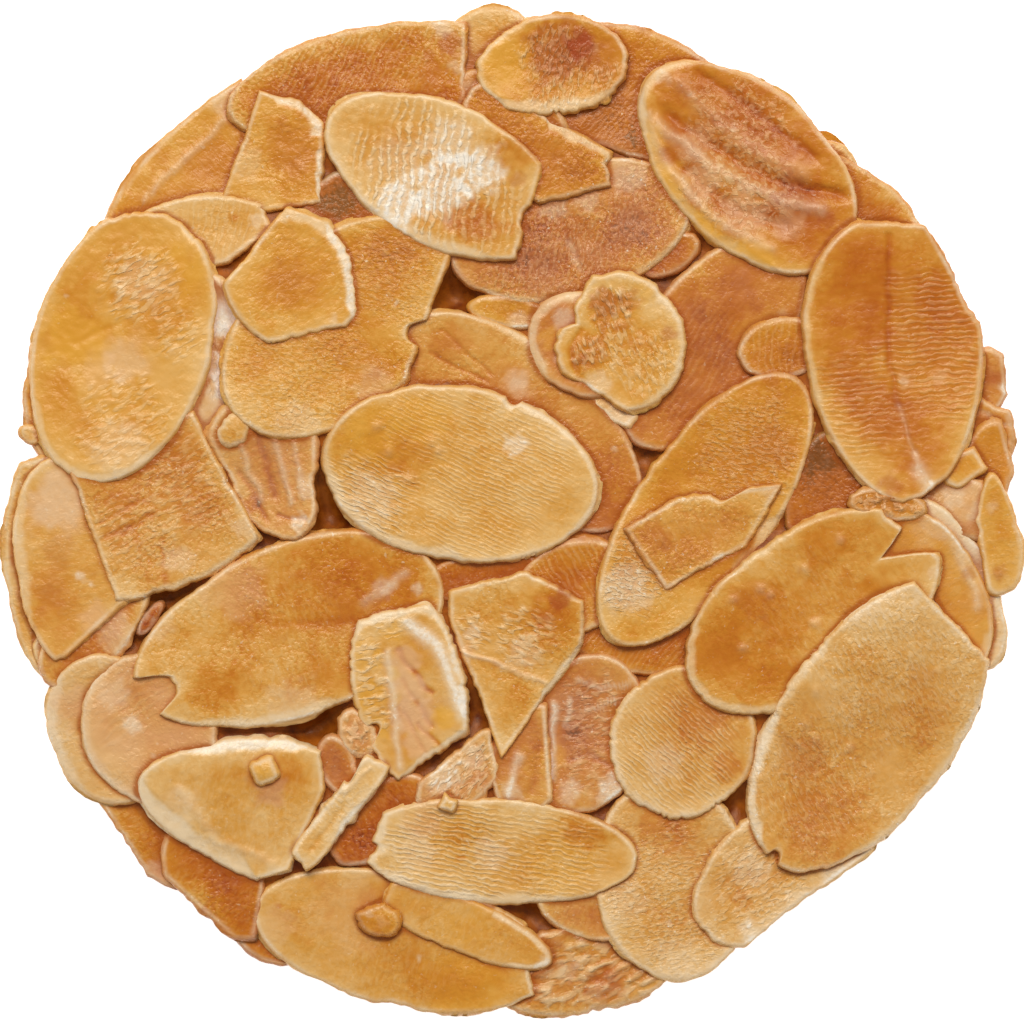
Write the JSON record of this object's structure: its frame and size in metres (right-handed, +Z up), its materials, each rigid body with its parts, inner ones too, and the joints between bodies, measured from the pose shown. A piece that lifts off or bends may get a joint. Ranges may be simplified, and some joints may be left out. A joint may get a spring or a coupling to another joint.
{
  "type": "almond tuile",
  "caption": "Round crisp biscuit of overlapping toasted almond slices set in a thin caramel sheet, flat underneath and layered on top.",
  "frame": {"origin": "middle of the round on the plane of the flat underside", "axes": "+Z up through the biscuit, +Y towards the top of the picture, +X to its right"},
  "size_m": [0.0813, 0.081, 0.0057],
  "materials": {
    "toasted_almond": "toasted almond with a satin caramel glaze"
  },
  "bodies": {
    "root": {"almond_tuile": "toasted_almond"}
  },
  "joints": []
}
